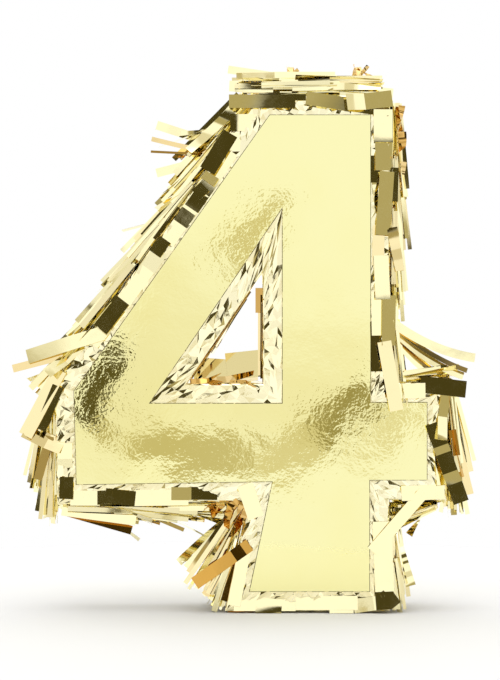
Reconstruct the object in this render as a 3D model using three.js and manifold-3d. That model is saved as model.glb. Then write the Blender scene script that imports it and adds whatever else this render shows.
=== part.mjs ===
// A number-four party pinata: a cardboard box in the shape of the numeral, a foil card
// numeral on its front and back, rows of metallised film fringe round every wall, a
// hanging loop at the top and a fill flap in the back.
// Millimetres. +X is the numeral's right-hand side, +Z is up, the front faces -Y, and
// Z = 0 is the underside of the fringe film that the foot stands on.
import * as THREE from 'three';
import { mergeVertices } from 'three/addons/utils/BufferGeometryUtils.js';
import Module from 'manifold-3d';

// The box.
const BOX_DEPTH = 80;
const BOARD = 2.5;                    // corrugated board
const BORDER = 19;                    // how far the box stands out past the foil numeral
const GLUE_GAP = 0.3;                 // clearance that stands for each glue line
const FOOT_FILM = 1.9;                // film layers pressed flat under the foot
const END_GAP = 0.2;                  // at each end of a wall strip

// The foil numeral, measured from its own foot and from the frame's X = 0.
const NUMERAL_HEIGHT = 477.5;
const STEM = { right: 121, footRight: 120, topLeft: 19.5, footLeft: -1 };
const ARM = { end: 177.5, under: 111.5, top: 190 };
const TIP = { x: -176.5, z: 201 };            // where the diagonal meets the left end
const HEEL = { x: -174, z: 107 };             // the left end's lower corner
const NOTCH = { x: 22, z: 110 };              // where the crossbar meets the stem
const HOLE = { left: -100, right: 32, bottom: 189, top: 383 };

// Card and film laid on the boards.
const BORDER_FOIL = 0.3;
const FOIL_LAP = 5;                   // how far the border foil runs under the numeral
const FOIL_SETBACK = 0.2;             // from the box edge
const NUMERAL_CARD = 0.9;

// Fringe: each row is glued on by its header, and its ribbons stand off at a slant.
const FRINGE = { header: 12, film: 1.2, gap: 0.4, halfDepth: 40.2, ribbons: 6, slit: 1.5 };

// The fill flap in the back.
const FLAP = { left: 45, right: 109, bottom: 330, top: 400, clearance: 0.5 };
const STICKER = { radius: 13, thickness: 0.3, sides: 24 };

// The hanging loop: up from its two knots, over the back edge and down behind the box.
// The route is the left half, from the plate to the middle of the bight.
const LOOP = { left: 40, right: 113, thickness: 6, sides: 8, steps: 72 };
const LOOP_ROUTE = [
  [40, 0, 511.9],
  [40, 0, 528],
  [40.5, 1, 540],
  [41, 6, 549],
  [42, 15, 554],
  [43, 27, 553],
  [44, 38, 547],
  [45, 46, 537],
  [45.5, 50, 523],
  [46, 50.5, 507],
  [46, 50.5, 490],
  [48, 50.5, 474],
  [54, 50.5, 461],
  [65, 50.5, 453.5],
  [76.5, 50.5, 451.5],
];
const LOOP_HOLE = { radius: 4.6, sides: 16, top: 545 };
const KNOT = { radius: 7, around: 16, up: 10 };
const HANGER_PLATE = { left: 22, right: 128, halfDepth: 30, thickness: 3 };

const FRONT = -BOX_DEPTH / 2;
const BACK = BOX_DEPTH / 2;
const LIFT = FOOT_FILM + GLUE_GAP + BORDER;   // height of the numeral's foot
const WALL_REACH = BOX_DEPTH / 2 - BOARD - GLUE_GAP;
const RIGHT_HAND = 1;                 // a wall's free face, seen along its ribbons
const LEFT_HAND = -1;

const wasm = await Module();
wasm.setup();

const pinata = new THREE.Group();

function finish(color, metalness, roughness) {
  return new THREE.MeshStandardMaterial({ color, metalness, roughness });
}

const finishes = {
  numeral: finish(0xf8efb0, 1.0, 0.18),
  borderFoil: finish(0xe9dc9a, 1.0, 0.25),
  film: finish(0xe8d27e, 1.0, 0.2),
  board: finish(0xb08d62, 0.0, 0.9),
  ribbon: finish(0xe6d79a, 0.6, 0.35),
  sticker: finish(0xf4f1e4, 0.0, 0.5),
};

function part(name, geometry, material) {
  const mesh = new THREE.Mesh(geometry, material);
  mesh.name = name;
  pinata.add(mesh);
  return mesh;
}

// Booleans.

function solid(geometry) {
  const bare = geometry.clone();
  bare.deleteAttribute('normal');
  bare.deleteAttribute('uv');
  const welded = mergeVertices(bare, 1e-4);
  return new wasm.Manifold(new wasm.Mesh({
    numProp: 3,
    vertProperties: new Float32Array(welded.attributes.position.array),
    triVerts: new Uint32Array(welded.index.array),
  }));
}

function cut(geometry, tools) {
  let left = solid(geometry);
  for (const tool of tools) left = left.subtract(solid(tool));
  const { vertProperties, triVerts } = left.getMesh();
  const made = new THREE.BufferGeometry();
  made.setAttribute('position', new THREE.BufferAttribute(vertProperties, 3));
  made.setIndex(new THREE.BufferAttribute(triVerts, 1));
  made.computeVertexNormals();
  return made;
}

// Outlines lie in the numeral's plane: a Vector2 holds X and Z.

function at(x, z) {
  return new THREE.Vector2(x, z);
}

function offsetCorner(before, corner, after, distance) {
  const inward = corner.clone().sub(before).normalize();
  const onward = after.clone().sub(corner).normalize();
  const normalIn = at(inward.y, -inward.x);
  const normalOut = at(onward.y, -onward.x);
  const mitre = normalIn.clone().add(normalOut);
  return corner.clone().addScaledVector(mitre, distance / (1 + normalIn.dot(normalOut)));
}

// Every corner of a counterclockwise outline, moved outward by a distance.
function offset(outline, distance) {
  const last = outline.length;
  return outline.map((corner, i) =>
    offsetCorner(outline[(i + last - 1) % last], corner, outline[(i + 1) % last], distance));
}

// A plate or strip with a flat outline, from one depth to another.
function prism(outline, front, back, holes = []) {
  const shape = new THREE.Shape(outline);
  shape.holes = holes.map((hole) => new THREE.Path(hole));
  const geometry = new THREE.ExtrudeGeometry(shape, {
    depth: back - front,
    bevelEnabled: false,
  });
  geometry.rotateX(Math.PI / 2);
  geometry.translate(0, back, 0);
  return geometry;
}

function rectangle(left, right, bottom, top) {
  return [at(left, bottom), at(right, bottom), at(right, top), at(left, top)];
}

// A post along Z, for the holes that the loop's legs pass through.
function post(x, bottom, top) {
  const { radius, sides } = LOOP_HOLE;
  const geometry = new THREE.CylinderGeometry(radius, radius, top - bottom, sides);
  geometry.rotateX(Math.PI / 2);
  geometry.translate(x, 0, (bottom + top) / 2);
  return geometry;
}

const numeral = [
  at(STEM.footLeft, 0),
  at(STEM.footRight, 0),
  at(STEM.footRight, ARM.under),
  at(ARM.end, ARM.under),
  at(ARM.end, ARM.top),
  at(STEM.right, ARM.top),
  at(STEM.right, NUMERAL_HEIGHT),
  at(STEM.topLeft, NUMERAL_HEIGHT),
  at(TIP.x, TIP.z),
  at(HEEL.x, HEEL.z),
  at(NOTCH.x, NOTCH.z),
].map((corner) => corner.add(at(0, LIFT)));

const hole = [
  at(HOLE.left, HOLE.bottom),
  at(HOLE.right, HOLE.bottom),
  at(HOLE.right, HOLE.top),
].map((corner) => corner.add(at(0, LIFT)));

const box = offset(numeral, BORDER);
const boxInside = offset(numeral, BORDER - BOARD);
const boxHole = offset(hole, -BORDER);
const boxHoleInside = offset(hole, BOARD - BORDER);
const [FOOT_LEFT, FOOT_RIGHT, ARMPIT, ARM_LOW, ARM_HIGH, ARM_ROOT, TOP_RIGHT, TOP_LEFT,
  LEFT_HIGH, LEFT_LOW, NOTCH_CORNER] = box.keys();
const [HOLE_LEFT, HOLE_RIGHT, HOLE_TOP] = boxHole.keys();
const TOP_Z = box[TOP_RIGHT].y;

// Boards and wall strips.

function buildBoards() {
  const flapHole = rectangle(FLAP.left, FLAP.right, FLAP.bottom, FLAP.top);
  part('box_front', prism(box, FRONT, FRONT + BOARD, [boxHole]), finishes.board);
  part('box_back', prism(box, BACK - BOARD, BACK, [boxHole, flapHole]), finishes.board);
}

// One strip of board, creased at each corner that it turns, from one corner to another.
function wallStrip(firstCorner, lastCorner) {
  const corners = [];
  for (let i = firstCorner; i !== lastCorner; i = (i + 1) % box.length) corners.push(i);
  corners.push(lastCorner);
  const outer = corners.map((i) => box[i].clone());
  const inner = corners.map((i) => boxInside[i].clone());
  const last = corners.length - 1;
  const startRun = outer[1].clone().sub(outer[0]).setLength(END_GAP);
  const endRun = outer[last - 1].clone().sub(outer[last]).setLength(END_GAP);
  for (const line of [outer, inner]) {
    line[0].add(startRun);
    line[last].add(endRun);
  }
  return prism([...outer, ...inner.reverse()], -WALL_REACH, WALL_REACH);
}

function buildWalls() {
  const topStrip = cut(wallStrip(ARM_ROOT, TOP_LEFT), [
    post(LOOP.left, TOP_Z - 2 * BOARD, TOP_Z + BOARD),
    post(LOOP.right, TOP_Z - 2 * BOARD, TOP_Z + BOARD),
  ]);
  part('wall_strip_top_right', topStrip, finishes.board);
  part('wall_strip_arm', wallStrip(ARMPIT, ARM_ROOT), finishes.board);
  part('wall_strip_foot', wallStrip(NOTCH_CORNER, ARMPIT), finishes.board);
  part('wall_strip_crossbar', wallStrip(LEFT_HIGH, NOTCH_CORNER), finishes.board);
  part('wall_strip_diagonal', wallStrip(TOP_LEFT, LEFT_HIGH), finishes.board);
  const holeStrip = prism(boxHoleInside, -WALL_REACH, WALL_REACH, [boxHole]);
  part('wall_strip_hole', holeStrip, finishes.board);
}

// Foil on the two faces: folded-over borders under the lapping edge of the numeral card.

function buildFaces() {
  const foilFront = BACK + GLUE_GAP;
  const foilBack = foilFront + BORDER_FOIL;
  const cardFront = foilBack + GLUE_GAP;
  const cardBack = cardFront + NUMERAL_CARD;
  const outer = offset(numeral, BORDER - FOIL_SETBACK);
  const outerLap = offset(numeral, -FOIL_LAP);
  const holeLap = offset(hole, FOIL_LAP);
  const holeEdge = offset(hole, FOIL_SETBACK - BORDER);
  const flapHole = rectangle(FLAP.left, FLAP.right, FLAP.bottom, FLAP.top);
  const faces = [
    ['front', -foilBack, -foilFront, -cardBack, -cardFront, []],
    ['back', foilFront, foilBack, cardFront, cardBack, [flapHole]],
  ];
  for (const [side, foilFrom, foilTo, cardFrom, cardTo, cutOuts] of faces) {
    part(`border_foil_${side}`, prism(outer, foilFrom, foilTo, [outerLap]),
      finishes.borderFoil);
    part(`hole_foil_${side}`, prism(holeLap, foilFrom, foilTo, [holeEdge]),
      finishes.borderFoil);
    part(`numeral_card_${side}`, prism(numeral, cardFrom, cardTo, [hole, ...cutOuts]),
      finishes.numeral);
  }
  return { cardFront, cardBack };
}

// Fringe rows.

// One row: a header along the wall, then the slanting ribbons with slits between them.
function fringeRow(from, to, freeSide, row) {
  const run = to.clone().sub(from).normalize();
  const out = at(run.y, -run.x).multiplyScalar(freeSide);
  const place = (along, away) =>
    from.clone().addScaledVector(run, along).addScaledVector(out, away);
  const film = row.film ?? FRINGE.film;
  const gap = row.gap ?? FRINGE.gap;
  const bend = row.start + FRINGE.header;
  const slant = THREE.MathUtils.degToRad(row.flare);
  const tip = bend + row.length * Math.cos(slant);
  const rise = gap + row.length * Math.sin(slant);
  const profile = [
    place(row.start, gap),
    place(bend, gap),
    place(tip, rise),
    place(tip - film * Math.sin(slant), rise + film * Math.cos(slant)),
    place(bend - film * Math.tan(slant / 2), gap + film),
    place(row.start, gap + film),
  ];
  const uncut = prism(profile, -FRINGE.halfDepth, FRINGE.halfDepth);
  return row.flare === 0 ? uncut : cut(uncut, slits(place, bend, tip, gap, rise + film));
}

// The cutters for a row's slits, each as tall as the row's slant.
function slits(place, bend, tip, low, high) {
  const { halfDepth, ribbons, slit } = FRINGE;
  const outline = [
    place(bend + slit, low - slit),
    place(tip + slit, low - slit),
    place(tip + slit, high + slit),
    place(bend + slit, high + slit),
  ];
  const cutters = [];
  for (let i = 1; i < ribbons; i++) {
    const y = -halfDepth + 2 * halfDepth * i / ribbons;
    cutters.push(prism(outline, y - slit / 2, y + slit / 2));
  }
  return cutters;
}

// Rows run from the wall's first point to its second, the way the ribbons hang. start is
// how far along the wall the header begins, length the ribbons' length, flare their slant.
const flat = { film: FOOT_FILM, gap: GLUE_GAP, flare: 0 };
const fringedWalls = [
  { name: 'top', from: box[TOP_RIGHT], to: box[TOP_LEFT], side: RIGHT_HAND, rows: [
    { start: 4, length: 74, flare: 15 },
    { start: 48, length: 78, flare: 13 },
    { start: 108, length: 52, flare: 12 },
  ] },
  { name: 'right', from: box[TOP_RIGHT], to: box[ARM_ROOT], side: LEFT_HAND, rows: [
    { start: 4, length: 85, flare: 5 },
    { start: 54, length: 85, flare: 5 },
    { start: 104, length: 80, flare: 5 },
    { start: 154, length: 50, flare: 5 },
    { start: 222, length: 88, flare: 54 },
  ] },
  { name: 'arm_top', from: box[ARM_ROOT], to: box[ARM_HIGH], side: LEFT_HAND, rows: [
    { start: 8, length: 42, flare: 10 },
  ] },
  { name: 'arm_end', from: box[ARM_HIGH], to: box[ARM_LOW], side: LEFT_HAND, rows: [
    { start: 4, length: 82, flare: 14 },
    { start: 54, length: 62, flare: 9 },
  ] },
  { name: 'arm_under', from: box[ARM_LOW], to: box[ARMPIT], side: LEFT_HAND, rows: [
    { start: 4, length: 36, flare: 28 },
  ] },
  { name: 'stem_right', from: box[ARMPIT], to: box[FOOT_RIGHT], side: LEFT_HAND, rows: [
    { start: 6, length: 80, flare: 9 },
    { start: 56, length: 40, flare: 8 },
  ] },
  { name: 'foot', from: box[FOOT_LEFT], to: box[FOOT_RIGHT], side: RIGHT_HAND, rows: [
    { start: 4, length: 64, ...flat },
    { start: 83, length: 64, ...flat },
  ] },
  { name: 'stem_left', from: box[NOTCH_CORNER], to: box[FOOT_LEFT], side: RIGHT_HAND, rows: [
    { start: 6, length: 84, flare: 36 },
    { start: 56, length: 40, flare: 14 },
  ] },
  { name: 'crossbar', from: box[LEFT_LOW], to: box[NOTCH_CORNER], side: RIGHT_HAND, rows: [
    { start: 4, length: 80, flare: 10 },
    { start: 54, length: 80, flare: 9 },
    { start: 104, length: 66, flare: 8 },
  ] },
  { name: 'left_end', from: box[LEFT_HIGH], to: box[LEFT_LOW], side: RIGHT_HAND, rows: [
    { start: 4, length: 88, flare: 21 },
    { start: 56, length: 66, flare: 11 },
  ] },
  { name: 'diagonal', from: box[TOP_LEFT], to: box[LEFT_HIGH], side: RIGHT_HAND, rows: [
    { start: 4, length: 100, flare: 36 },
    { start: 54, length: 85, flare: 14 },
    { start: 104, length: 85, flare: 12 },
    { start: 154, length: 85, flare: 12 },
    { start: 204, length: 85, flare: 12 },
    { start: 254, length: 80, flare: 12 },
    { start: 304, length: 55, flare: 12 },
  ] },
  { name: 'hole_right', from: boxHole[HOLE_TOP], to: boxHole[HOLE_RIGHT],
    side: RIGHT_HAND, rows: [{ start: 30, length: 50, flare: 6 }] },
  { name: 'hole_slope', from: boxHole[HOLE_TOP], to: boxHole[HOLE_LEFT],
    side: LEFT_HAND, rows: [
      { start: 26, length: 56, flare: 5 },
      { start: 66, length: 40, flare: 4 },
    ] },
  { name: 'hole_bottom', from: boxHole[HOLE_LEFT], to: boxHole[HOLE_RIGHT],
    side: LEFT_HAND, rows: [{ start: 24, length: 34, flare: 16 }] },
];

// The rows of the top wall that each leg of the loop comes up through.
const legGaps = { fringe_top_1: LOOP.right, fringe_top_2: LOOP.left };

function buildFringe() {
  for (const { name, from, to, side, rows } of fringedWalls) {
    rows.forEach((row, i) => {
      const rowName = `fringe_${name}_${i + 1}`;
      const slab = fringeRow(from, to, side, row);
      const leg = legGaps[rowName];
      const made = leg ? cut(slab, [post(leg, TOP_Z - BOARD, LOOP_HOLE.top)]) : slab;
      part(rowName, made, finishes.film);
    });
  }
}

// The fill flap turns on the crease along its top edge.

function buildFlap({ cardFront, cardBack }) {
  const { clearance } = FLAP;
  const outline = rectangle(FLAP.left + clearance, FLAP.right - clearance,
    FLAP.bottom + clearance, FLAP.top - clearance);
  part('fill_flap', prism(outline, BACK - BOARD, BACK), finishes.board);
  part('fill_flap_card', prism(outline, cardFront, cardBack), finishes.numeral);
  const { radius, thickness, sides } = STICKER;
  const sticker = new THREE.CylinderGeometry(radius, radius, thickness, sides);
  const stickerY = cardBack + GLUE_GAP + thickness / 2;
  sticker.translate((FLAP.left + FLAP.right) / 2, stickerY, FLAP.bottom);
  part('flap_sticker', sticker, finishes.sticker);
}

// The hanging loop, its two knots and the plate that they bear on.

// The loop's centreline: the route, then its mirror image back to the other leg.
function loopPath() {
  const leftHalf = LOOP_ROUTE.map(([x, y, z]) => new THREE.Vector3(x, y, z));
  const rightHalf = leftHalf.slice(0, -1).reverse().map(
    ({ x, y, z }) => new THREE.Vector3(LOOP.left + LOOP.right - x, y, z));
  return new THREE.CatmullRomCurve3([...leftHalf, ...rightHalf], false, 'centripetal');
}

function buildLoop() {
  const { left, right, halfDepth, thickness } = HANGER_PLATE;
  const plateTop = TOP_Z - BOARD - GLUE_GAP;
  const plateUnder = plateTop - thickness;
  const plate = prism(rectangle(left, right, plateUnder, plateTop), -halfDepth, halfDepth);
  const legHoles = [LOOP.left, LOOP.right].map((x) => post(x, plateUnder - BOARD, TOP_Z));
  part('hanger_plate', cut(plate, legHoles), finishes.board);

  const section = new THREE.Shape(Array.from({ length: LOOP.sides }, (_, i) =>
    at(LOOP.thickness / 2, 0).rotateAround(at(0, 0), 2 * Math.PI * i / LOOP.sides)));
  const loop = new THREE.ExtrudeGeometry(section, {
    steps: LOOP.steps,
    extrudePath: loopPath(),
    bevelEnabled: false,
  });
  part('hanging_loop', loop, finishes.ribbon);

  for (const [side, x] of [['left', LOOP.left], ['right', LOOP.right]]) {
    const knot = new THREE.SphereGeometry(KNOT.radius, KNOT.around, KNOT.up);
    knot.rotateX(Math.PI / 2);
    knot.translate(x, 0, plateUnder - GLUE_GAP - KNOT.radius);
    part(`loop_knot_${side}`, knot, finishes.ribbon);
  }
}

buildBoards();
buildWalls();
const card = buildFaces();
buildFringe();
buildFlap(card);
buildLoop();

export default pinata;
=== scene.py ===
"""The looks of a gold number-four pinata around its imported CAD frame: mirror-gold numeral
cards, crinkled foil folded over the box's edges, film fringe on every wall, and a ribbon loop."""
import math

import bmesh
import bpy
import numpy as np
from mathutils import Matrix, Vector, noise


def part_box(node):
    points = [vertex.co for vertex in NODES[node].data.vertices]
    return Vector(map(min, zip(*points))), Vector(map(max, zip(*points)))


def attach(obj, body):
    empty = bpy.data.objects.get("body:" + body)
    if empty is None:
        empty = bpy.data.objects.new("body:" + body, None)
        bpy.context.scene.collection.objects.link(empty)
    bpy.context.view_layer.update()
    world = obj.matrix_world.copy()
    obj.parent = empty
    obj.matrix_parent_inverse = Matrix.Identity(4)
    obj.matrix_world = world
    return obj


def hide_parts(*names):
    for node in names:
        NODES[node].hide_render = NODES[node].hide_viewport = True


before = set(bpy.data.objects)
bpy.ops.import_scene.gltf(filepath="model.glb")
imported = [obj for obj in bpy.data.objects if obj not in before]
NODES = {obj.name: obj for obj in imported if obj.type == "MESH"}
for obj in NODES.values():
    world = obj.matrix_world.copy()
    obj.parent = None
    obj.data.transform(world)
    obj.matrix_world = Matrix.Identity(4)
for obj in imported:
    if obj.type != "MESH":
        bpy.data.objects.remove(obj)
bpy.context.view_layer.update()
MM = 0.001
SAME_PLACE = 1e-6  # corners this near, in metres, count as one

# ---------- camera, first

SENSOR_MM = 36.0
VIEW_HEIGHT = 0.680  # what the picture's long side spans at the front card
VIEW_CENTRE_Z = 0.2732
CAMERA_DISTANCE = 1.9  # from the front card
NEAREST, FARTHEST = 0.05, 50.0  # what the camera draws, in metres


def make_camera():
    data = bpy.data.cameras.new("photo_camera")
    camera = bpy.data.objects.new("photo_camera", data)
    bpy.context.scene.collection.objects.link(camera)
    card_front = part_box("numeral_card_front")[0].y
    camera.location = (0.0, card_front - CAMERA_DISTANCE, VIEW_CENTRE_Z)
    camera.rotation_euler = (math.radians(90), 0.0, 0.0)
    data.sensor_width = SENSOR_MM
    data.lens = SENSOR_MM * CAMERA_DISTANCE / VIEW_HEIGHT
    data.clip_start, data.clip_end = NEAREST, FARTHEST
    bpy.context.scene.camera = camera


# ---------- node helpers

def add(tree, kind, **values):
    """A shader node with some of its properties and unlinked sockets set."""
    node = tree.nodes.new(f"ShaderNode{kind}")
    for key, value in values.items():
        if key in node.inputs:
            node.inputs[key].default_value = value
        else:
            setattr(node, key, value)
    return node


def join(tree, out_socket, in_socket):
    tree.links.new(out_socket, in_socket)


def map_range(tree, value, low, high, to_low=0.0, to_high=1.0, smooth=True):
    node = add(tree, "MapRange", clamp=True)
    node.interpolation_type = "SMOOTHSTEP" if smooth else "LINEAR"
    for i, number in enumerate((low, high, to_low, to_high), start=1):
        node.inputs[i].default_value = number
    join(tree, value, node.inputs[0])
    return node.outputs[0]


def math_node(tree, operation, a, b=None):
    node = add(tree, "Math", operation=operation)
    for socket, value in zip(node.inputs, (a, b)):
        if isinstance(value, bpy.types.NodeSocket):
            join(tree, value, socket)
        elif value is not None:
            socket.default_value = value
    return node.outputs[0]


def noise_texture(tree, coordinates, scale, detail=2.0, roughness=0.5):
    node = add(tree, "TexNoise", Scale=scale, Detail=detail, Roughness=roughness)
    join(tree, coordinates, node.inputs["Vector"])
    return node.outputs["Fac"]


def bump(tree, height, strength, distance, before=None):
    node = add(tree, "Bump", Strength=strength, Distance=distance)
    join(tree, height, node.inputs["Height"])
    if before is not None:
        join(tree, before, node.inputs["Normal"])
    return node.outputs["Normal"]


def new_material(name, **values):
    """A material with one shader whose named sockets are set, its node tree, its shader and
    the object coordinates for its textures."""
    material = bpy.data.materials.new(name)
    material.use_nodes = True
    tree = material.node_tree
    tree.nodes.clear()
    shader = add(tree, "BsdfPrincipled", **values)
    output = add(tree, "OutputMaterial")
    join(tree, shader.outputs[0], output.inputs["Surface"])
    place = add(tree, "TexCoord").outputs["Object"]
    return material, tree, shader, place


def tint(tree, shader, colours, factor):
    """The shader's colour, mixed from two by a factor socket."""
    mix = add(tree, "Mix", data_type="RGBA")
    mix.inputs["A"].default_value, mix.inputs["B"].default_value = colours
    join(tree, factor, mix.inputs["Factor"])
    join(tree, mix.outputs["Result"], shader.inputs["Base Color"])


def wave_texture(tree, coordinates, scale, distortion):
    node = add(tree, "TexWave", Scale=scale, Distortion=distortion)
    join(tree, coordinates, node.inputs["Vector"])
    return node.outputs["Fac"]


# ---------- materials

# Base colours. A pair is two tints that a texture mixes.
CARD_GOLD = ((0.95, 0.912, 0.485, 1.0), (0.94, 0.89, 0.435, 1.0))
BORDER_GOLD = ((0.95, 0.89, 0.60, 1.0), (0.93, 0.84, 0.50, 1.0))
# The film's own pale gold, and an amber painted in where gold mirrors gold in shaded folds.
FILM_GOLD_AND_PAINTED_AMBER = ((0.90, 0.84, 0.51, 1.0), (0.60, 0.34, 0.07, 1.0))
BOARD_BROWN = ((0.46, 0.30, 0.17, 1.0), (0.30, 0.18, 0.09, 1.0))
# The card rim: a dark painted shadow for the gap under the card's edge, and the rim's pale board.
RIM_PAINTED_SHADOW_AND_BOARD = ((0.09, 0.065, 0.025, 1.0), (0.75, 0.65, 0.36, 1.0))
RIBBON_GOLD = (0.85, 0.60, 0.24, 1.0)
SEAL_WHITE = (0.86, 0.83, 0.74, 1.0)
FLOOR_GREY = (0.75, 0.75, 0.75, 1.0)

# Texture scales: a noise has about this many features in a metre, and a wave about three
# times as many bands.
FOIL_PATCHES = 9.0
FOIL_HAZE = 55.0
HAZE_SPAN = (0.6, 1.6)  # the foil's least and most roughness, as shares of its own
BOARD_MOTTLE = 220.0
BOARD_FLUTES = 75.0
BOARD_FIBRES = 900.0
# How often the card rim's painted shadow breaks into dashes.
RIM_SHADOW_DASHES = 170.0
RIBBON_WEAVE = 600.0
SEAL_FIBRES = 700.0


def foil_material(name, colours, roughness, wrinkles, attribute=None):
    """Mirror-gold foil between two tints, mixed by a mesh attribute or by soft patches.
    wrinkles are (texture scale, bump distance in metres, detail) triples."""
    material, tree, shader, place = new_material(name, Metallic=1.0)
    if attribute:
        patches = add(tree, "Attribute", attribute_name=attribute).outputs["Fac"]
    else:
        patches = map_range(tree, noise_texture(tree, place, FOIL_PATCHES, 3.0), 0.35, 0.75)
    tint(tree, shader, colours, patches)
    least, most = HAZE_SPAN
    haze = map_range(tree, noise_texture(tree, place, FOIL_HAZE, 4.0, 0.6), 0.3, 0.75,
                     roughness * least, roughness * most)
    join(tree, haze, shader.inputs["Roughness"])
    normal = None
    for scale, distance, detail in wrinkles:
        normal = bump(tree, noise_texture(tree, place, scale, detail, 0.55), 1.0, distance,
                      normal)
    join(tree, normal, shader.inputs["Normal"])
    return material


def cardboard_material():
    material, tree, shader, place = new_material("brown_cardboard", Roughness=0.85)
    tint(tree, shader, BOARD_BROWN, noise_texture(tree, place, BOARD_MOTTLE, 5.0, 0.65))
    fibres = bump(tree, noise_texture(tree, place, BOARD_FIBRES, 3.0), 0.5, 0.0002)
    flutes = bump(tree, wave_texture(tree, place, BOARD_FLUTES, 0.6), 0.35, 0.0004, fibres)
    join(tree, flutes, shader.inputs["Normal"])
    return material


def ribbon_material():
    material, tree, shader, place = new_material("satin_ribbon", Roughness=0.38,
                                                 Metallic=0.55)
    shader.inputs["Base Color"].default_value = RIBBON_GOLD
    weave = bump(tree, wave_texture(tree, place, RIBBON_WEAVE, 0.4), 0.4, 0.0001)
    join(tree, weave, shader.inputs["Normal"])
    return material


def rim_shadow_material():
    """The raw rim of the numeral card: pale board, broken by dark dashes of painted shadow where
    the card stands off the foil beneath.
    """
    material, tree, shader, place = new_material("card_rim_painted_shadow", Roughness=0.6)
    dashes = map_range(tree, noise_texture(tree, place, RIM_SHADOW_DASHES, 2.0), 0.54, 0.62)
    tint(tree, shader, RIM_PAINTED_SHADOW_AND_BOARD, dashes)
    return material


def seal_material():
    material, tree, shader, place = new_material("paper_seal", Roughness=0.45)
    shader.inputs["Base Color"].default_value = SEAL_WHITE
    fibres = bump(tree, noise_texture(tree, place, SEAL_FIBRES, 4.0), 0.3, 0.0001)
    join(tree, fibres, shader.inputs["Normal"])
    return material


CARD_FOIL = foil_material("numeral_foil", CARD_GOLD, 0.020,
                          [(340.0, 0.000021, 1.5), (65.0, 0.00005, 1.0)])
# The card's bevelled rim: pale board with dashes of painted shadow.
CARD_RIM_SHADE = rim_shadow_material()
BORDER_FOIL = foil_material("border_foil", BORDER_GOLD, 0.06,
                            [(430.0, 0.00002, 2.0), (150.0, 0.00007, 1.0)])
# Its attribute paints amber into shaded folds, in place of gold-on-gold reflection.
FILM = foil_material("fringe_film", FILM_GOLD_AND_PAINTED_AMBER, 0.06,
                     [(90.0, 0.00002, 3.0), (40.0, 0.00004, 1.0)], "painted_amber")
CARDBOARD = cardboard_material()
RIBBON = ribbon_material()
SEAL = seal_material()

# ---------- outlines from the frame

Y_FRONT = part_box("box_front")[0].y
Y_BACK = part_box("box_back")[1].y


def rim_neighbours(node):
    """The (x, z) corners on the rim of a CAD plate's front face, each with the two corners
    that follow it along the rim."""
    mesh = NODES[node].data
    front = min(v.co.y for v in mesh.vertices)
    spot = {v.index: (round(v.co.x, 5), round(v.co.z, 5)) for v in mesh.vertices}
    uses = {}
    for face in mesh.polygons:
        if face.normal.y > -0.9 or abs(face.center.y - front) > 1e-5:
            continue
        ring = [spot[i] for i in face.vertices]
        for a, b in zip(ring, ring[1:] + ring[:1]):
            uses[frozenset((a, b))] = uses.get(frozenset((a, b)), 0) + 1
    beside = {}
    for edge, count in uses.items():
        if count == 1:
            a, b = edge
            beside.setdefault(a, []).append(b)
            beside.setdefault(b, []).append(a)
    return beside


def front_loops(node):
    """The outer and the hole outline of a CAD plate, counterclockwise seen from the front,
    each an array of (x, z) corners that starts at its lowest, leftmost corner."""
    beside = rim_neighbours(node)
    loops = []
    while beside:
        loop = [min(beside, key=lambda p: (p[1], p[0]))]
        while True:
            onward = [p for p in beside[loop[-1]] if p not in loop]
            if not onward:
                break
            loop.append(onward[0])
        for p in loop:
            del beside[p]
        ring = np.array(loop)
        after = np.roll(ring, -1, axis=0)
        if (ring[:, 0] * after[:, 1] - after[:, 0] * ring[:, 1]).sum() < 0:
            ring = np.roll(ring[::-1], 1, axis=0)
        loops.append(ring)
    loops.sort(key=lambda ring: -np.ptp(ring[:, 1]))
    return loops[0], loops[1]


BOX, BOX_HOLE = front_loops("box_front")
(FOOT_LEFT, FOOT_RIGHT, ARMPIT, ARM_LOW, ARM_HIGH, ARM_ROOT, TOP_RIGHT, TOP_LEFT, LEFT_HIGH,
 LEFT_LOW, NOTCH) = range(len(BOX))
HOLE_LEFT, HOLE_RIGHT, HOLE_TOP = range(len(BOX_HOLE))


def offset_loop(loop, distance):
    """A counterclockwise outline moved outward by a distance, with mitred corners."""
    before, after = np.roll(loop, 1, axis=0), np.roll(loop, -1, axis=0)
    run_in, run_out = loop - before, after - loop
    run_in = run_in / np.linalg.norm(run_in, axis=1)[:, None]
    run_out = run_out / np.linalg.norm(run_out, axis=1)[:, None]
    normal_in = np.stack([run_in[:, 1], -run_in[:, 0]], axis=1)
    normal_out = np.stack([run_out[:, 1], -run_out[:, 0]], axis=1)
    share = 1 + (normal_in * normal_out).sum(axis=1)
    return loop + (normal_in + normal_out) * (distance / share)[:, None]


def inside(points, loop):
    """Whether each (x, z) point lies inside an outline."""
    odd = np.zeros(len(points), bool)
    for a, b in zip(loop, np.roll(loop, -1, axis=0)):
        crosses = (a[1] > points[:, 1]) != (b[1] > points[:, 1])
        rise = b[1] - a[1] if b[1] != a[1] else 1e-12
        odd ^= crosses & (points[:, 0] < (b[0] - a[0]) * (points[:, 1] - a[1]) / rise + a[0])
    return odd


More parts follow.
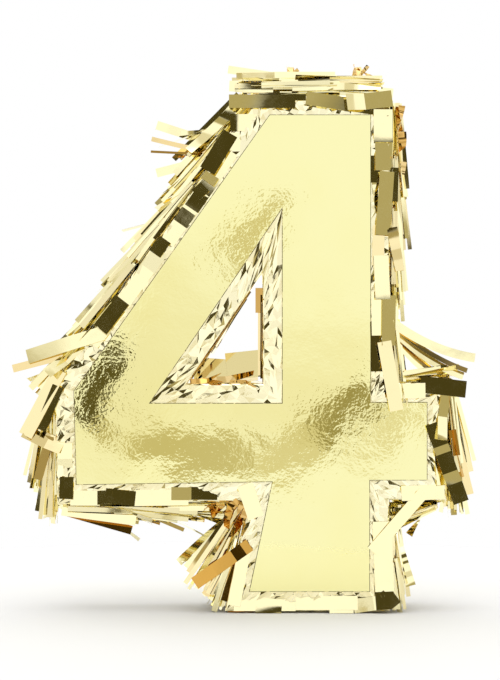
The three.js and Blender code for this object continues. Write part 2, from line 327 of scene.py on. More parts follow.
def clear_of_box(points, clearance):
    """Points that lie in the box, or nearer to its walls than clearance, moved out of it."""
    points = points.copy()
    deep = (points[:, 1] > Y_FRONT - clearance) & (points[:, 1] < Y_BACK + clearance)
    flat = points[:, [0, 2]]
    body = inside(flat, BOX) & ~inside(flat, BOX_HOLE)
    best = np.full(len(points), np.inf)
    moved = flat.copy()
    for loop, side in ((BOX, 1.0), (BOX_HOLE, -1.0)):
        for a, b in zip(loop, np.roll(loop, -1, axis=0)):
            run = b - a
            length = np.linalg.norm(run)
            run = run / length
            normal = np.array([run[1], -run[0]]) * side
            along = np.clip((flat - a) @ run, 0, length)
            nearest = a + along[:, None] * run
            away = np.linalg.norm(flat - nearest, axis=1)
            closer = away < best
            best[closer] = away[closer]
            moved[closer] = (nearest + normal * clearance)[closer]
    fix = deep & (body | (best < clearance))
    points[fix, 0] = moved[fix, 0]
    points[fix, 2] = moved[fix, 1]
    return points


# ---------- meshes

def stand_in(piece, body, slot, *nodes):
    """A piece that rides on a body and replaces CAD nodes, which it hides; slot is not used."""
    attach(piece, body)
    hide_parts(*nodes)


def link_mesh(name, vertices, faces, material, smooth=True, sharp=()):
    mesh = bpy.data.meshes.new(name)
    mesh.from_pydata([tuple(v) for v in vertices], [], faces)
    mesh.polygons.foreach_set("use_smooth", [smooth] * len(mesh.polygons))
    if len(sharp):
        hard = {frozenset(pair) for pair in sharp}
        for edge in mesh.edges:
            edge.use_edge_sharp = frozenset(edge.vertices) in hard
    mesh.materials.append(material)
    mesh.update()
    made = bpy.data.objects.new(name, mesh)
    bpy.context.scene.collection.objects.link(made)
    return made


# ---------- the numeral cards

CARD_GRID = 5 * MM
CARD_RIM = 0.6 * MM
CARD_DEEPEST = 0.2 * MM  # the most that a dent goes in
CARD_SHARP = math.radians(30)  # a bend in the card that shades as an edge
CARD_CORNER = 1.0  # radians: a bend that is the card's own edge
# Gentle dents and swells in the card, in millimetres: centre x and z, half sizes along and
# across, the long direction's angle in degrees, and the height, outward when positive.
CARD_SWELLS = [
    (-150, 190, 90, 50, 60, 0.15),
    (-60, 160, 90, 50, -8, 0.15),
    (60, 190, 70, 60, 30, 0.15),
    (75, 430, 70, 80, 0, 0.15),
    (60, 90, 60, 60, 20, 0.15),
]
CARD_WAVES = 0.12 * MM
CARD_WAVE_SIZE = 50 * MM


def card_swell(x, z, side):
    """How far the card stands out at a place, in metres."""
    height = 0.0
    for cx, cz, long, wide, angle, rise in CARD_SWELLS:
        dx, dz = x / MM - cx, z / MM - cz
        c, s = math.cos(math.radians(angle)), math.sin(math.radians(angle))
        u, v = (dx * c + dz * s) / long, (dz * c - dx * s) / wide
        height += rise * MM * math.exp(-u * u - v * v)
    place = Vector((x / CARD_WAVE_SIZE, z / CARD_WAVE_SIZE, 3.0 * side))
    return max(height + CARD_WAVES * noise.noise(place), -CARD_DEEPEST)


def cut_grid(bm, low, high):
    """Cut a mesh along x and z every CARD_GRID, so that it can bend."""
    for axis, normal in ((0, Vector((1, 0, 0))), (2, Vector((0, 0, 1)))):
        at = low[axis] + CARD_GRID
        while at < high[axis] - CARD_GRID / 2:
            place = Vector((0, 0, 0))
            place[axis] = at
            geometry = bm.verts[:] + bm.edges[:] + bm.faces[:]
            bmesh.ops.bisect_plane(bm, geom=geometry, plane_co=place, plane_no=normal,
                                   dist=SAME_PLACE)
            at += CARD_GRID


def swollen_copy(node, name, side, body):
    """The CAD card with a cut rim, gently dented. side is -1 at the front, 1 at the back."""
    bm = bmesh.new()
    bm.from_mesh(NODES[node].data)
    bmesh.ops.remove_doubles(bm, verts=bm.verts, dist=SAME_PLACE)
    bmesh.ops.dissolve_limit(bm, angle_limit=math.radians(1), verts=bm.verts,
                             edges=bm.edges)
    low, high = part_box(node)
    outer_y = low.y if side < 0 else high.y
    rim = [edge for edge in bm.edges if edge.calc_face_angle(0.0) > CARD_CORNER
           and all(abs(vertex.co.y - outer_y) < 1e-5 for vertex in edge.verts)]
    # The bevel takes the second material: pale board with painted shadow dashes.
    bmesh.ops.bevel(bm, geom=rim, offset=CARD_RIM, segments=1, affect="EDGES", material=1)
    cut_grid(bm, low, high)
    for vertex in bm.verts:
        vertex.co.y += side * card_swell(vertex.co.x, vertex.co.z, side)
    for face in bm.faces:
        face.smooth = True
    for edge in bm.edges:
        looks = {face.material_index for face in edge.link_faces}
        edge.smooth = len(looks) == 1 and edge.calc_face_angle(0.0) < CARD_SHARP
    mesh = bpy.data.meshes.new(name)
    bm.to_mesh(mesh)
    bm.free()
    mesh.materials.append(CARD_FOIL)
    mesh.materials.append(CARD_RIM_SHADE)
    piece = bpy.data.objects.new(name, mesh)
    bpy.context.scene.collection.objects.link(piece)
    stand_in(piece, body, "gold_card", node)


# ---------- crumpled foil round the edges

BORDER = 19 * MM
FOIL_LAP = 3 * MM
FOIL_STAND = 0.45 * MM  # above the boards and walls
EDGE_ROUND = 1.3 * MM
CRUMPLE_STEP = 5.2 * MM  # from crease to crease
CRUMPLE_WANDER = 0.40  # how far creases stray, as a share of the step
CRUMPLE_HEIGHT = 1.25 * MM
CALM_STEP = 45 * MM  # how far apart the calm and the crumpled stretches lie
WALL_FREEDOM = 0.6  # how freely the foil crumples on a wall


def foil_section():
    """Points across the wrap, from the front to the back: distance outward and y, then two
    directions as (outward, y): where a crease rises to, and which way it may stray."""
    front = Y_FRONT - FOIL_STAND
    flat = round(BORDER / CRUMPLE_STEP)
    rise, still = (0.0, -1.0), (0.0, 0.0)
    points = [(-BORDER - FOIL_LAP, front, still, still)]
    for k in range(flat + 1):
        n = -BORDER + (BORDER - EDGE_ROUND) * k / flat
        points.append((n, front, rise if k else (0.0, -0.3), (1.0, 0.0) if k < flat else still))
    reach = (EDGE_ROUND + FOIL_STAND) * math.sqrt(0.5)
    points.append((reach - EDGE_ROUND, Y_FRONT + EDGE_ROUND - reach, (0.4, -0.4), still))
    half = round((Y_BACK - Y_FRONT) / 2 / CRUMPLE_STEP)
    for k in range(half + 1):
        y = (Y_FRONT + EDGE_ROUND) * (1 - k / half)
        points.append((FOIL_STAND, y, (WALL_FREEDOM, 0.0), (0.0, 1.0) if k else still))
    points += [(n, -y, (up[0], -up[1]), stray)
               for n, y, up, stray in reversed(points[:-1])]
    return points


def foil_facets(columns, wide, outward, rng):
    """Two triangles for each cell of a closed grid, split along a random diagonal."""
    faces = []
    for c in range(columns):
        for s in range(wide - 1):
            a, b = c * wide + s, ((c + 1) % columns) * wide + s
            if rng.uniform() < 0.5:
                split = [(a, a + 1, b + 1), (a, b + 1, b)]
            else:
                split = [(a, a + 1, b), (a + 1, b + 1, b)]
            faces += split if outward > 0 else [tuple(reversed(face)) for face in split]
    return faces


def foil_wrap(name, loop, outward, replaced, seed):
    """Crumpled foil from under the front card, over the edge, along the wall's whole depth
    and on to the back, round one closed outline: flat facets between random creases."""
    rng = np.random.default_rng(seed)
    section = foil_section()
    rings = [offset_loop(loop, outward * point[0]) for point in section]
    lengths = np.linalg.norm(np.roll(loop, -1, axis=0) - loop, axis=1)
    mitres = offset_loop(loop, outward) - loop
    vertices = []
    columns = 0
    for i, length in enumerate(lengths):
        j = (i + 1) % len(loop)
        parts = max(2, round(length / CRUMPLE_STEP))
        columns += parts
        for k in range(parts):
            for (_, y, up, stray), ring in zip(section, rings):
                wander = rng.uniform(-CRUMPLE_WANDER, CRUMPLE_WANDER, 2)
                t = (k + (wander[0] if k else 0.0)) / parts
                away = mitres[i] * (1 - t) + mitres[j] * t
                away = away / np.linalg.norm(away)
                calm = noise.noise(Vector((ring[i][0] + t, seed, ring[i][1])) / CALM_STEP)
                rise = rng.uniform(0, CRUMPLE_HEIGHT) * (0.7 + 0.5 * calm)
                shift = rise * np.array(up) + wander[1] * CRUMPLE_STEP * np.array(stray)
                flat = ring[i] * (1 - t) + ring[j] * t + away * shift[0]
                vertices.append((flat[0], y + shift[1], flat[1]))
    faces = foil_facets(columns, len(section), outward, rng)
    piece = link_mesh(name, vertices, faces, BORDER_FOIL, smooth=False)
    stand_in(piece, "box", "gold_border_foil", *replaced)


# ---------- fringe

FILM_THICKNESS = 0.15 * MM
RIBBON_STEP = 4 * MM
LEAST_STEPS = 5
ACROSS = (-0.5, 0.0, 0.5)
DOWN = np.array([0.0, 0.0, -1.0])
FRONTWARD = np.array([0.0, -1.0, 0.0])
FLOOR_CLEARANCE = 0.3 * MM
FACE_REACH = 9.5 * MM  # how far a ribbon stands off the front or back freely
FACE_SPARE = 4.0 * MM  # and how much further it may come
CORNER_OVERHANG = 16 * MM  # how far the top rows pass the corner
ROOT_RUN = 12 * MM  # the header of a CAD row, which lies flat before the row rises


class Film:
    """One row of fringe: where it lies on its wall, and its ribbons as one mesh."""

    def __init__(self, wall, node):
        self.wall = wall
        self.node = node
        self.row = node[len("fringe_"):]
        self.start, end, height = wall.span(node)
        self.reach = math.hypot(end - self.start, height)
        slope = math.degrees(math.atan2(height, end - self.start - ROOT_RUN))
        self.slope = min(slope, wall.fan)
        self.full_at_root = self.row.startswith(FULL_AT_ROOT)
        self.vertices = []
        self.faces = []
        self.sharp = []
        self.painted_amber = []

    def ending(self, length):
        """A ribbon's length, cut off past the corner on the top wall."""
        if self.wall.name == "top":
            return min(length, self.wall.length - self.start + CORNER_OVERHANG)
        return length

    def ribbon(self, root, flow, face, width, length, heading=0.0, lift=0.0, roll=0.0,
               bend=0.0, tip=0.0, twist=0.0, creases=(), droop=0.0, bow=0.0, painted_amber=0.3,
               clearance=1.2 * MM, keep_out=True):
        """One cut ribbon that starts at root, runs along flow and shows its face. heading,
        lift and roll turn it at its root; bend, tip and twist add up along it; creases are
        (share of the length, degrees). All angles are in degrees."""
        steps = max(LEAST_STEPS, round(length / RIBBON_STEP))
        step = length / steps
        forward, across = ribbon_start(flow, face, heading, lift, roll)
        place = np.array(root, float)
        folds = {min(steps - 1, max(1, round(share * steps))): degrees
                 for share, degrees in creases}
        rows = []
        for k in range(steps + 1):
            outer = np.cross(forward, across)
            dip = bow * width
            rows += [place + across * a * width + outer * dip * (1 - (2 * a) ** 2)
                     for a in ACROSS]
            share = k / steps
            pitch = (bend + tip * 3 * share ** 2) / steps + folds.get(k, 0.0)
            forward = turned(forward, across, -math.radians(pitch))
            across = turned(across, forward, math.radians(twist / steps))
            forward = unit(forward + DOWN * droop / steps)
            across = unit(across - forward * (across @ forward))
            place = place + forward * step
        grid = np.array(rows)
        if keep_out:
            grid = clear_of_box(grid, clearance)
        grid[:, 1] = within_faces(grid[:, 1])
        grid[:, 2] = np.maximum(grid[:, 2], FLOOR_CLEARANCE)
        self.stitch(len(self.vertices), steps, folds)
        self.vertices += grid.tolist()
        self.painted_amber += [painted_amber] * len(grid)

    def stitch(self, first, steps, folds):
        """The faces of a ribbon whose points start at first, sharp along rim and folds."""
        wide = len(ACROSS)
        for k in range(steps):
            base = first + k * wide
            self.faces += [(base + a, base + a + 1, base + a + wide + 1, base + a + wide)
                           for a in range(wide - 1)]
            self.sharp += [(base + a, base + a + wide) for a in (0, wide - 1)]
        for k in (0, *folds, steps):
            base = first + k * wide
            self.sharp += [(base + a, base + a + 1) for a in range(wide - 1)]

    def finish(self):
        name = f"film_{self.row}"
        piece = link_mesh(name, self.vertices, self.faces, FILM, sharp=self.sharp)
        # Painted amber, a share per point, for gold-on-gold reflection in shade.
        painted_amber = piece.data.attributes.new("painted_amber", "FLOAT", "POINT")
        painted_amber.data.foreach_set("value", self.painted_amber)
        thickness = piece.modifiers.new("film", "SOLIDIFY")
        thickness.thickness = FILM_THICKNESS
        thickness.offset = 0.0
        stand_in(piece, "box", "gold_film", self.node)


def within_faces(y):
    """Depths eased back so that nothing stands off the front or back too far."""
    free = Y_BACK + FACE_REACH
    over = np.maximum(0, np.abs(y) - free)
    return np.where(over > 0, np.sign(y) * (free + FACE_SPARE * np.tanh(over / FACE_SPARE)), y)


def unit(v):
    return v / np.linalg.norm(v)


def turned(v, axis, angle):
    c, s = math.cos(angle), math.sin(angle)
    return v * c + np.cross(axis, v) * s + axis * (axis @ v) * (1 - c)


def ribbon_start(flow, face, heading, lift, roll):
    """Which way a ribbon sets off, and its width's direction, after its turns in degrees."""
    forward = unit(flow)
    outer = unit(face - forward * (face @ forward))
    forward = turned(forward, outer, math.radians(heading))
    across = np.cross(outer, forward)
    forward = turned(forward, across, -math.radians(lift))
    return forward, turned(across, forward, math.radians(roll))


def spatial(flat, y=0.0):
    return np.array([flat[0], y, flat[1]])


# The most that a wall's rows spread, in degrees: on these walls, and on all the others.
FAN = {"diagonal": 9.0, "right": 8.0, "left_end": 17.0, "arm_end": 15.0, "stem_right": 8.0}
WIDEST_FAN = 30.0
FULL_AT_ROOT = ("top", "diagonal_1")  # rows that are thick from the root on


class Wall:
    """One straight wall: its first and second point in the way its ribbons run."""

    def __init__(self, name, start, end, right_hand, strip):
        self.name = name
        self.in_hole = name.startswith("hole")
        self.start = start
        self.strip = f"wall_strip_{strip}"
        self.fan = FAN.get(name, WIDEST_FAN)
        self.length = float(np.linalg.norm(end - start))
        self.run = (end - start) / self.length
        self.out = np.array([self.run[1], -self.run[0]]) * (1 if right_hand else -1)
        self.rows = [n for n in NODES if n.startswith(f"fringe_{name}_")
                     and n[len(f"fringe_{name}_"):].isdigit()]

    def place(self, along, away, y):
        return spatial(self.start + self.run * along + self.out * away, y)

    def span(self, node):
        """(start, end, height) of a CAD fringe row on this wall."""
        flat = np.array([(v.co.x, v.co.z) for v in NODES[node].data.vertices]) - self.start
        along, away = flat @ self.run, flat @ self.out
        return along.min(), along.max(), away.max()


WALLS = [
    Wall("top", BOX[TOP_RIGHT], BOX[TOP_LEFT], True, "top_right"),
    Wall("right", BOX[TOP_RIGHT], BOX[ARM_ROOT], False, "top_right"),
    Wall("arm_top", BOX[ARM_ROOT], BOX[ARM_HIGH], False, "arm"),
    Wall("arm_end", BOX[ARM_HIGH], BOX[ARM_LOW], False, "arm"),
    Wall("arm_under", BOX[ARM_LOW], BOX[ARMPIT], False, "arm"),
    Wall("stem_right", BOX[ARMPIT], BOX[FOOT_RIGHT], False, "foot"),
    Wall("foot", BOX[FOOT_LEFT], BOX[FOOT_RIGHT], True, "foot"),
    Wall("stem_left", BOX[NOTCH], BOX[FOOT_LEFT], True, "foot"),
    Wall("crossbar", BOX[LEFT_LOW], BOX[NOTCH], True, "crossbar"),
    Wall("left_end", BOX[LEFT_HIGH], BOX[LEFT_LOW], True, "crossbar"),
    Wall("diagonal", BOX[TOP_LEFT], BOX[LEFT_HIGH], True, "diagonal"),
    Wall("hole_right", BOX_HOLE[HOLE_TOP], BOX_HOLE[HOLE_RIGHT], True, "hole"),
    Wall("hole_slope", BOX_HOLE[HOLE_TOP], BOX_HOLE[HOLE_LEFT], False, "hole"),
    Wall("hole_bottom", BOX_HOLE[HOLE_LEFT], BOX_HOLE[HOLE_RIGHT], False, "hole"),
]


# What a ribbon's face mirrors to the camera: degrees from straight ahead in the studio, as
# STUDIO_FRAME and STUDIO_SIDES have it.
GOLD, LIGHT, DARK, OLIVE, WHITE, TAN = 4, 12, 20, 28, 36, 51
FULL_PAINTED_AMBER = 1.0  # the most painted amber, for a ribbon whose face stands for gold mirroring gold in a shaded fold

# Ribbons placed on the front, under the row that they belong to: millimetres along
# the wall and outward from the box's edge, width, length, the heading away from the wall in
# degrees, the tone, how far it starts off the front in millimetres, and what else shapes it.
PLACED = {
    "top_1": [
        (-4, 4, 10, 90, 6, WHITE, -12, dict(bend=2)),
        (6, 12, 7, 89, 7, LIGHT, -20),
        (1, -14, 14, 84, 7, DARK, 2.4, dict(twist=6, creases=[(0.45, 5)])),
        (-2, -3, 17, 47, -7, OLIVE, 3.4, dict(creases=[(0.55, 14)], tip=8)),
        (17, 22, 4, 17, 30, DARK, -24, dict(painted_amber=0.8, twist=120)),
        (20, 34, 4, 15, -50, DARK, -28, dict(painted_amber=0.7, twist=-90)),
        (32, 20, 3, 16, 80, OLIVE, -30, dict(painted_amber=0.9, twist=100)),
    ],
    "top_2": [
        (65, 6, 11, 96, 3, LIGHT, -10, dict(bend=1)),
        (68, 15, 8, 95, 8, LIGHT, -16),
        (84, -1, 8, 28, 0, DARK, 1.4),
        (91, 30, 4, 15, -35, DARK, -26, dict(painted_amber=0.8, twist=90)),
        (98, 20, 3, 15, 70, DARK, -30, dict(painted_amber=0.8, twist=-110)),
        (95, -6, 14, 66, 0, DARK, 4.2, dict(twist=4, bend=0)),
    ],
    "top_3": [
        (133, -27, 17, 27, 0, GOLD, 0.4, dict(lift=4, tip=6)),
        (146, -46, 18, 14, 0, GOLD, 0.4, dict(lift=5)),
    ],
    "diagonal_1": [
        (28, 14, 10, 60, 10, LIGHT, 0, dict(bend=12, twist=30)),
        (54, 18, 4, 34, 48, LIGHT, -10, dict(bend=20)),
        (76, 12, 5, 56, 66, WHITE, -6, dict(bend=8, painted_amber=0.5)),
        (79, 12, 2.5, 54, 57, OLIVE, -9, dict(painted_amber=0.8)),
        (64, 12, 9, 60, 72, LIGHT, -22, dict(bend=6)),
        (90, 14, 9, 42, 40, LIGHT, -18),
        (48, 2, 17, 44, -4, DARK, 4.0),
    ],
    "diagonal_2": [
        (92, -7, 16, 9, -2, OLIVE, 3.4, dict(bend=0)),
        (106, -8, 13, 12, 12, DARK, 2.8, dict(bend=0)),
        (62, -9, 16, 70, -1, LIGHT, 1.2, dict(tip=6)),
    ],
    "diagonal_3": [
        (112, -9, 16, 62, 0, LIGHT, 2.4, dict(bend=0, creases=[(0.4, -4), (0.6, 4)])),
        (138, 2, 4, 40, 1, DARK, 2.4, dict(painted_amber=0.3)),
    ],
    "diagonal_4": [
        (172, -6, 14, 18, 0, DARK, 3.0, dict(bend=0)),
        (186, -9, 16, 30, 0, GOLD, 1.6),
    ],
    "diagonal_5": [
        (206, -9, 15, 44, 0, LIGHT, 2.4, dict(bend=3)),
        (246, -6, 18, 37, 2, DARK, 4.2, dict(bend=0)),
    ],
    "diagonal_6": [
        (254, -10, 14, 46, 3, LIGHT, 1.4, dict(creases=[(0.4, 15), (0.7, -12)])),
        (284, -10, 15, 80, 38, WHITE, 4.6, dict(bend=-4)),
        (326, 10, 8, 52, 40, LIGHT, 0, dict(painted_amber=0.45)),
    ],
    "diagonal_7": [
        (306, 2, 12, 46, 10, OLIVE, 1.5, dict(creases=[(0.5, 20)])),
    ],
    "left_end_1": [
        (-15, -6, 15, 74, 29, WHITE, 2.4, dict(painted_amber=0.25)),
        (1, -4, 12, 47, 24, DARK, 4.2),
        (44, 31, 17, 42, -62, TAN, 1.0, dict(painted_amber=0.3, creases=[(0.6, 9)])),
        (51, 6, 9, 45, 17, OLIVE, 0, dict(painted_amber=0.5)),
    ],
    "left_end_2": [
        (58, -9, 15, 44, 1, LIGHT, 2.4, dict(creases=[(0.35, -14)])),
        (92, -10, 14, 22, 3, DARK, 3.2),
    ],
    "crossbar_1": [
        (4, 5, 14, 75, 9, WHITE, -4, dict(bend=2)),
        (6, 8, 9, 70, 17, DARK, -10, dict(painted_amber=0.9)),
        (13, -6, 15, 42, 1, LIGHT, 2.0, dict(creases=[(0.68, 5)])),
        (48, -8, 15, 30, 7, DARK, 3.4),
        (40, -6, 14, 10, 0, DARK, 3.0, dict(bend=0)),
    ],
    "crossbar_2": [
        (79, 8, 4, 51, 24, OLIVE, -8, dict(painted_amber=0.4)),
        (89, 10, 3, 42, 9, LIGHT, -16, dict(painted_amber=0.6)),
        (77, -5, 16, 54, 0, LIGHT, 2.0),
    ],
    "crossbar_3": [
        (114, -9, 13, 20, 1, OLIVE, 3.0),
        (132, -9, 13, 28, 1, DARK, 2.2, dict(bend=-7, painted_amber=0.1)),
    ],
    "stem_left_1": [
        (9, 11, 9, 81, 23, LIGHT, -8, dict(painted_amber=0.4, twist=14)),
        (13, 8, 8, 63, 26, OLIVE, -14, dict(painted_amber=0.4)),
        (16, 5, 8, 63, 19, WHITE, -20, dict(painted_amber=0.5)),
        (2, 4, 12, 38, -2, DARK, 2.4, dict(painted_amber=0.8, twist=60, creases=[(0.4, 30)])),
        (0, 12, 9, 26, 20, DARK, 1.0, dict(painted_amber=0.9, twist=80, creases=[(0.5, 40)])),
        (2, 22, 9, 24, 34, OLIVE, -2, dict(painted_amber=1.0, twist=-70, creases=[(0.5, 30)])),
        (1, 32, 8, 22, 12, DARK, -4, dict(painted_amber=0.9, twist=90, creases=[(0.4, 40)])),
        (6, 16, 7, 28, 6, OLIVE, 2.0, dict(painted_amber=1.0, twist=-50, creases=[(0.5, 50)])),
        (0, 42, 8, 20, -30, DARK, -6, dict(painted_amber=0.8, twist=60, creases=[(0.5, 30)])),
        (-16, 7, 17, 35, -30, WHITE, 4.0),
        (42, -10, 13, 67, 43, GOLD, 5.0,
         dict(painted_amber=FULL_PAINTED_AMBER, bend=0, creases=[(0.12, 12), (0.3, -12), (0.62, 9)])),
    ],
    "stem_left_2": [
        (60, 0, 9, 43, 5, DARK, -2, dict(painted_amber=0.9)),
        (66, 7, 8, 40, 24, LIGHT, -12, dict(painted_amber=0.5)),
        (47, -6, 13, 58, -1, LIGHT, 2.0, dict(tip=4)),
    ],
    "stem_right_1": [
        (-8, 35, 12, 79, -41, LIGHT, 4.6, dict(bend=1)),
        (22, -7, 19, 70, 2, LIGHT, 1.8, dict(bend=3)),
    ],
    "stem_right_2": [
        (70, -8, 15, 40, 3, LIGHT, 2.6, dict(creases=[(0.5, 12)])),
        (90, -5, 12, 20, 37, DARK, 3.6),
    ],
    "arm_end_1": [
        (9, 0, 10, 50, -9, OLIVE, 2.4, dict(creases=[(0.5, 25)])),
        (47, 6, 8, 26, 9, OLIVE, 0, dict(painted_amber=FULL_PAINTED_AMBER)),
        (42, 8, 8, 72, 13, LIGHT, -10, dict(bend=5, painted_amber=0.35)),
        (40, -14, 16, 84, 19, DARK, 6.0,
         dict(bend=0, creases=[(0.27, 14), (0.38, -14), (0.62, 14), (0.74, -14)])),
    ],
    "arm_end_2": [
        (62, -6, 14, 40, 4, WHITE, 2.2),
    ],
    "arm_top_1": [
        (2, -8, 15, 34, 0, LIGHT, 1.8, dict(creases=[(0.5, 20)])),
        (30, -1, 17, 46, -7, DARK, 4.2, dict(creases=[(0.48, 7), (0.56, -7)])),
    ],
    "right_1": [
        (42, -6, 18, 33, 0, OLIVE, 1.6),
        (14, -7, 19, 33, 0, LIGHT, 3.4, dict(tip=4)),
        (60, -13, 13, 27, 0, DARK, 1.2),
        (10, 12, 7, 26, -4, OLIVE, 1.0, dict(painted_amber=0.9, twist=120)),
        (36, 12, 9, 30, 2, OLIVE, 1.0, dict(painted_amber=0.9, twist=-110, creases=[(0.5, 40)])),
        (66, 14, 6, 30, -6, DARK, 0.0, dict(painted_amber=0.6, twist=90)),
    ],
    "right_2": [
        (72, 5, 8, 34, -2, DARK, 1.2),
        (84, -14, 9, 34, 4, DARK, 1.4, dict(twist=40)),
        (76, -3, 15, 64, -4, OLIVE, 3.8, dict(bend=1)),
    ],
    "right_3": [
        (130, -11, 12, 40, -2, LIGHT, 2.0, dict(painted_amber=0.3)),
        (132, 2, 11, 44, 10, DARK, 2.6, dict(painted_amber=0.3, twist=25)),
        (160, -9, 15, 44, 2, LIGHT, 3.8, dict(tip=6)),
    ],
    "right_4": [
        (200, -1, 14, 50, -1, OLIVE, 3.6),
        (196, -13, 12, 44, 1, LIGHT, 1.6),
    ],
    "right_5": [
        (226, 2, 9, 92, 52, LIGHT, -2, dict(bend=0, droop=-0.55)),
        (228, 2, 5, 90, 46, DARK, -4, dict(bend=0, droop=-0.5, painted_amber=0.5)),
        (232, 2, 8, 88, 42, WHITE, -6, dict(bend=0, droop=-0.6)),
        (236, 4, 5, 80, 37, OLIVE, -9, dict(bend=0, droop=-0.6, painted_amber=0.5)),
        (238, 4, 9, 82, 34, LIGHT, -12, dict(bend=0, droop=-0.7)),
        (226, -14, 12, 50, 1, DARK, 1.4),
        (246, -6, 14, 70, 10, LIGHT, 5.6, dict(bend=3, painted_amber=0.2)),
    ],
    "foot_1": [
        (8, -7, 14, 62, 0, LIGHT, 1.6, dict(creases=[(0.5, -3)])),
        (30, -3, 12, 26, 4, LIGHT, 3.0),
        (2, 2, 8, 30, 6, OLIVE, -4, dict(painted_amber=0.8)),
    ],
    "foot_2": [
        (70, -8, 14, 62, 0, LIGHT, 1.6, dict(creases=[(0.4, 3)])),
        (104, -4, 12, 24, 2, LIGHT, 3.0),
        (128, -5, 14, 32, -8, GOLD, 3.4, dict(creases=[(0.6, 4)])),
    ],
    "arm_under_1": [
        (2, -8, 15, 44, 3, LIGHT, 2.0, dict(creases=[(0.6, 14)])),
    ],
    "hole_bottom_1": [
        (8, 14, 28, 36, -4, TAN, -18, dict(painted_amber=0.1, bend=0)),
        (40, 17, 30, 34, 6, TAN, -20, dict(painted_amber=0.1, bend=0)),
        (20, 3, 8, 50, 3, OLIVE, -6, dict(painted_amber=0.6, twist=40, creases=[(0.4, 20)])),
        (4, 2, 6, 34, 4, DARK, -2, dict(painted_amber=0.9, twist=70, creases=[(0.5, 30)])),
        (44, 1, 6, 28, 2, DARK, -1, dict(painted_amber=0.9, twist=-80, creases=[(0.5, 40)])),
    ],
    "hole_slope_1": [
        (24, 1, 2.5, 56, 0, DARK, -3, dict(bend=0, painted_amber=0.8)),
    ],
    "hole_slope_2": [
        (78, 1, 2.5, 52, 0, DARK, -4, dict(bend=0, painted_amber=0.9)),
    ],
    "hole_right_1": [
        (17, 3, 9, 25, 0, GOLD, -6, dict(painted_amber=0.9)),
        (37, 2, 6, 68, 0, LIGHT, -10, dict(painted_amber=0.4)),
        (24, 1, 3, 84, 0, DARK, -3, dict(painted_amber=0.9)),
    ],
}


def fringe_row(wall, node, seed):
    """The ribbons of one row: across the wall, and folded on to the front and the back."""
    rng = np.random.default_rng(seed)
    film = Film(wall, node)
    if wall.name == "foot":
        pressed_ribbons(film, rng)
    elif wall.in_hole:
        inner_ribbons(film, rng)
    else:
        wall_ribbons(film, rng)
        band_strips(film, rng)
    for along, away, width, length, heading, tone, stand, *shape in PLACED.get(film.row, []):
        placed_ribbon(film, along * MM, away * MM, width * MM, length * MM, heading, tone,
                      stand, **dict(*shape))
    if not wall.in_hole:
        for side in (-1, 1) if film.row not in PLACED else (1,):
            border_ribbon(film, side, rng)
    film.finish()


def lean_for(tone, place, toward):
    """The lean in radians, to one side, that makes a face at a place mirror a tone."""
    sight = place - np.array([0.0, Y_FRONT - CAMERA_DISTANCE, VIEW_CENTRE_Z])
    most = 0 if abs(toward[0]) > abs(toward[2]) else 2
    side = math.copysign(1.0, toward[most])
    already = math.degrees(math.atan2(sight[most], sight[1])) * side
    return math.radians((tone - already) / abs(toward[most]) / 2)


def placed_ribbon(film, along, away, width, length, heading, tone, stand, twist=0.0,
                  bend=2.0, painted_amber=0.05, **shape):
    """One ribbon that faces the front, leaning so that it mirrors a tone."""
    wall = film.wall
    turn = math.radians(heading)
    flow = spatial(wall.run * math.cos(turn) + wall.out * math.sin(turn))
    outward = spatial(wall.out * math.cos(turn) - wall.run * math.sin(turn))
    root = wall.place(along, away, Y_FRONT - stand * MM)
    lit = outward if outward[2] > -0.3 else -outward  # undersides lean up, to the lamps
    lean = lean_for(tone, root + flow * length / 2, lit)
    face = FRONTWARD * math.cos(lean) + lit * math.sin(lean)
    hand = math.copysign(1.0, np.cross(flow, FRONTWARD) @ outward)
    film.ribbon(root, flow, face, width, length, twist=twist * hand, bend=bend,
                painted_amber=painted_amber, keep_out=False, **shape)


def depth(k, count):
    """The y of the kth of count places from the front to the back."""
    return Y_FRONT + (Y_BACK - Y_FRONT) * k / count


PRESSED_COUNT = 6
PRESSED_WIDTHS = (11, 14)  # least and most, in mm, as in the other WIDTHS


def pressed_ribbons(film, rng):
    """Ribbons pressed flat under the foot."""
    wall = film.wall
    for k in range(PRESSED_COUNT):
        y = depth(k + 0.5, PRESSED_COUNT)
        root = wall.place(film.start + rng.uniform(0, 6 * MM), (0.5 + 0.2 * (k % 2)) * MM, y)
        film.ribbon(root, spatial(wall.run), spatial(wall.out),
                    rng.uniform(*PRESSED_WIDTHS) * MM, film.reach * rng.uniform(0.85, 1.0),
                    heading=rng.normal(0, 4), clearance=0.4 * MM,
                    painted_amber=rng.uniform(0.0, 0.4))


WALL_COUNT = 22  # ribbons across a wall
WALL_WIDTHS = (6, 11)
STRAY_SHARE = 0.05
PAINTED_AMBER_SHARE = 0.10  # how many get painted amber, standing for gold mirroring gold between close ribbons
PILE, FULL_PILE, TOP_PILE = 5.0, 14.0, 17.0  # how high they lie at the root, in mm


